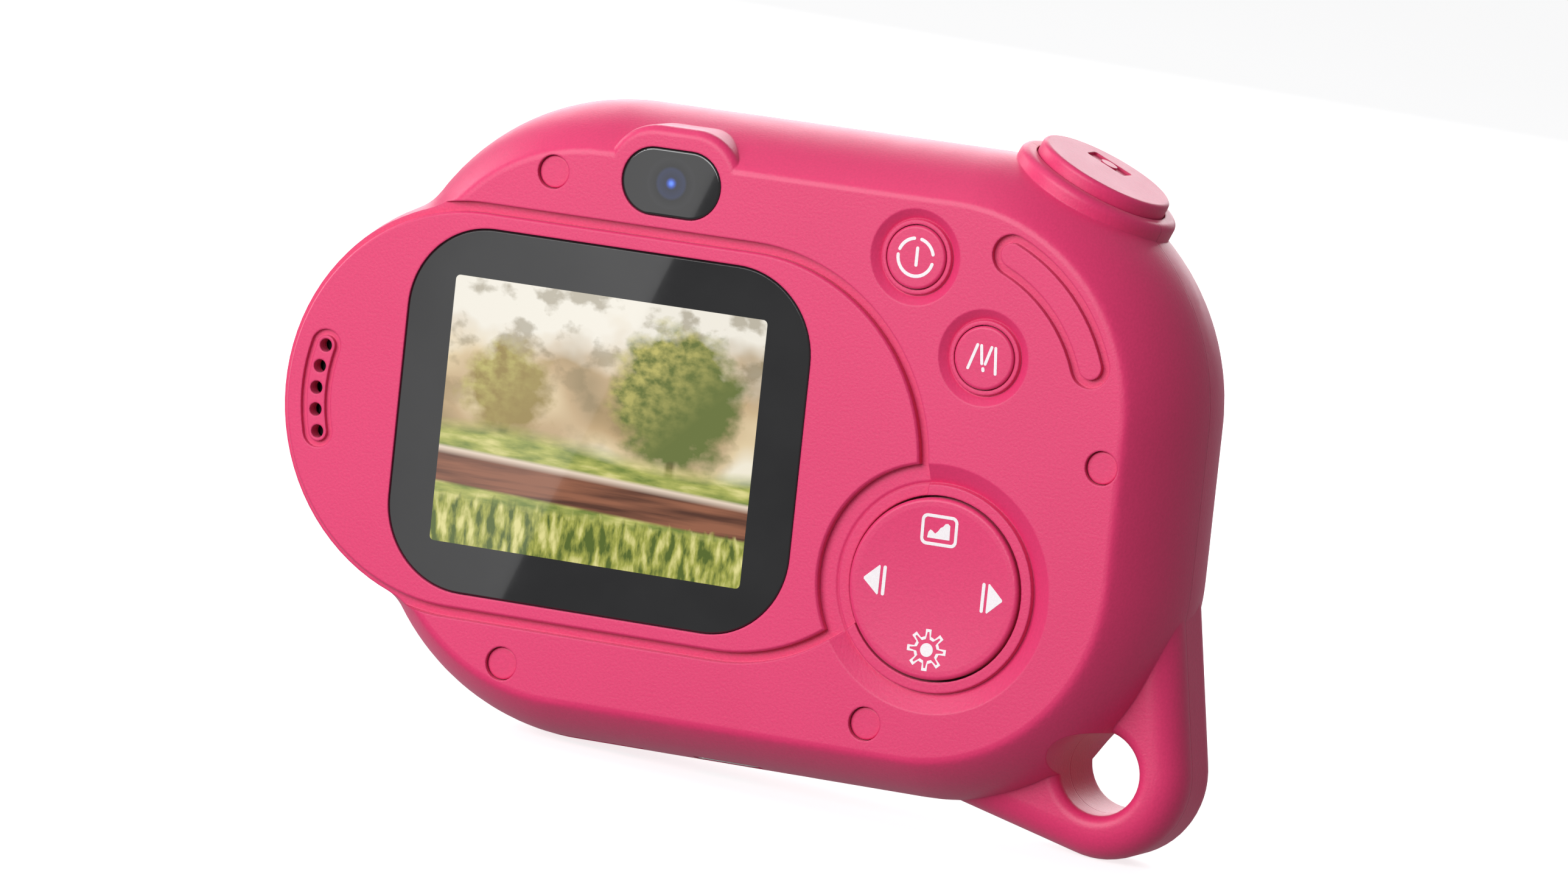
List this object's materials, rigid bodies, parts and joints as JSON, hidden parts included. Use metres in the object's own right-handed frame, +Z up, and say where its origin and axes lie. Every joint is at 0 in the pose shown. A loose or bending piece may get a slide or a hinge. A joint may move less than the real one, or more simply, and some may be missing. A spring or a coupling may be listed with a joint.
{
  "type": "kids instant-print camera",
  "caption": "Rounded toy camera with a round hooded lens at one end, rear screen, press keys, four-way pad, shutter key, strap loop and a hinged paper door over a thermal printer.",
  "frame": {"origin": "bottom centre of the camera's bounding box", "axes": "+X towards the lens end, +Y towards the screen side, +Z up; the lens looks along -Y"},
  "size_m": [0.1238, 0.0408, 0.088],
  "materials": {
    "casing_plastic": "fine satin texture, raspberry pink",
    "key_plastic": "satin, raspberry pink, printed white marks",
    "screen_glass": "polished, black mask round the picture",
    "window": "polished black",
    "mirror": "polished mirror",
    "lens_metal": "satin dark grey",
    "lens_gloss": "polished black",
    "lens_glass": "coated glass",
    "black_plastic": "moulded black",
    "board": "green circuit board",
    "metal": "plated steel",
    "aluminium": "extruded",
    "paper": "thermal paper",
    "white_plastic": "moulded acetal",
    "rubber": "soft rubber",
    "foil": "pouch foil"
  },
  "bodies": {
    "housing": {"front_shell": "casing_plastic", "rear_shell": "casing_plastic", "screen_panel": "casing_plastic", "screw_plugs": "casing_plastic", "door_hinge_pin": "metal", "screen_glass": "screen_glass", "lcd_panel": "black_plastic", "rear_camera_window": "window", "rear_camera_module": "black_plastic", "front_mirror": "mirror", "speaker": "black_plastic", "lens_trim_ring": "lens_metal", "lens_chamfer_ring": "lens_gloss", "lens_inner_disc": "lens_metal", "lens_barrel": "black_plastic", "front_lens": "lens_glass", "inner_lens": "lens_glass", "image_sensor_board": "board", "button_board": "board", "shutter_switch": "black_plastic", "main_board": "board", "battery": "foil", "usb_socket": "metal", "card_socket": "metal", "case_screws": "metal", "paper_cradle": "black_plastic", "feed_motor": "metal", "printer_chassis": "black_plastic", "print_head": "aluminium", "head_spring": "metal", "cutter_blade": "metal"},
    "shutter": {"shutter_button": "key_plastic"},
    "power_key": {"power_button": "key_plastic"},
    "mode_key": {"mode_button": "key_plastic"},
    "pad_post": {"pad_pivot": "black_plastic"},
    "pad": {"four_way_pad": "key_plastic"},
    "door": {"paper_door": "casing_plastic"},
    "platen": {"platen_shaft": "metal", "platen_roller": "rubber", "platen_gear": "white_plastic"},
    "idler": {"idler_gear": "white_plastic"},
    "pinion": {"motor_pinion": "white_plastic"},
    "paper": {"paper_roll": "paper", "paper_core": "white_plastic"}
  },
  "joints": [
    {"name": "shutter_press", "type": "slide", "parent": "housing", "child": "shutter", "axis": [0.3987, 0, -0.9171], "range_m": [0, 0.0008], "stiffness_N_per_m": 400, "springref_m": -0.001},
    {"name": "power_press", "type": "slide", "parent": "housing", "child": "power_key", "axis": [0, -1, 0], "range_m": [0, 0.0005], "stiffness_N_per_m": 300, "springref_m": -0.001},
    {"name": "mode_press", "type": "slide", "parent": "housing", "child": "mode_key", "axis": [0, -1, 0], "range_m": [0, 0.0005], "stiffness_N_per_m": 300, "springref_m": -0.001},
    {"name": "pad_tilt_up_down", "type": "hinge", "parent": "housing", "child": "pad_post", "pos_m": [-0.0304, 0.0188, 0.03175], "axis": [1, 0, 0], "range_deg": [-2.5, 2.5], "stiffness_Nm_per_rad": 0.02},
    {"name": "pad_tilt_left_right", "type": "hinge", "parent": "pad_post", "child": "pad", "pos_m": [-0.0304, 0.0188, 0.03175], "axis": [0, 0, 1], "range_deg": [-2.5, 2.5], "stiffness_Nm_per_rad": 0.02},
    {"name": "door_swing", "type": "hinge", "parent": "housing", "child": "door", "pos_m": [-0.0539, -0.0082, 0.0448], "axis": [0, 0, -1], "range_deg": [0, 95]},
    {"name": "platen_spin", "type": "hinge", "parent": "door", "child": "platen", "pos_m": [-0.0086, -0.0049, 0.0448], "axis": [0, 0, 1], "continuous": true},
    {"name": "idler_spin", "type": "hinge", "parent": "housing", "child": "idler", "pos_m": [-0.0086, 0.0051, 0.0448], "axis": [0, 0, 1], "continuous": true},
    {"name": "pinion_spin", "type": "hinge", "parent": "housing", "child": "pinion", "pos_m": [-0.00023, 0.00658, 0.0448], "axis": [0, 0, 1], "continuous": true},
    {"name": "paper_spin", "type": "hinge", "parent": "housing", "child": "paper", "pos_m": [-0.0353, 0.0019, 0.0448], "axis": [0, 0, 1], "continuous": true}
  ],
  "couplings": [
    {"joint": "idler_spin", "follows": "platen_spin", "ratio": -0.66667},
    {"joint": "pinion_spin", "follows": "platen_spin", "ratio": 1.6},
    {"joint": "paper_spin", "follows": "platen_spin", "ratio": 0.42391}
  ]
}
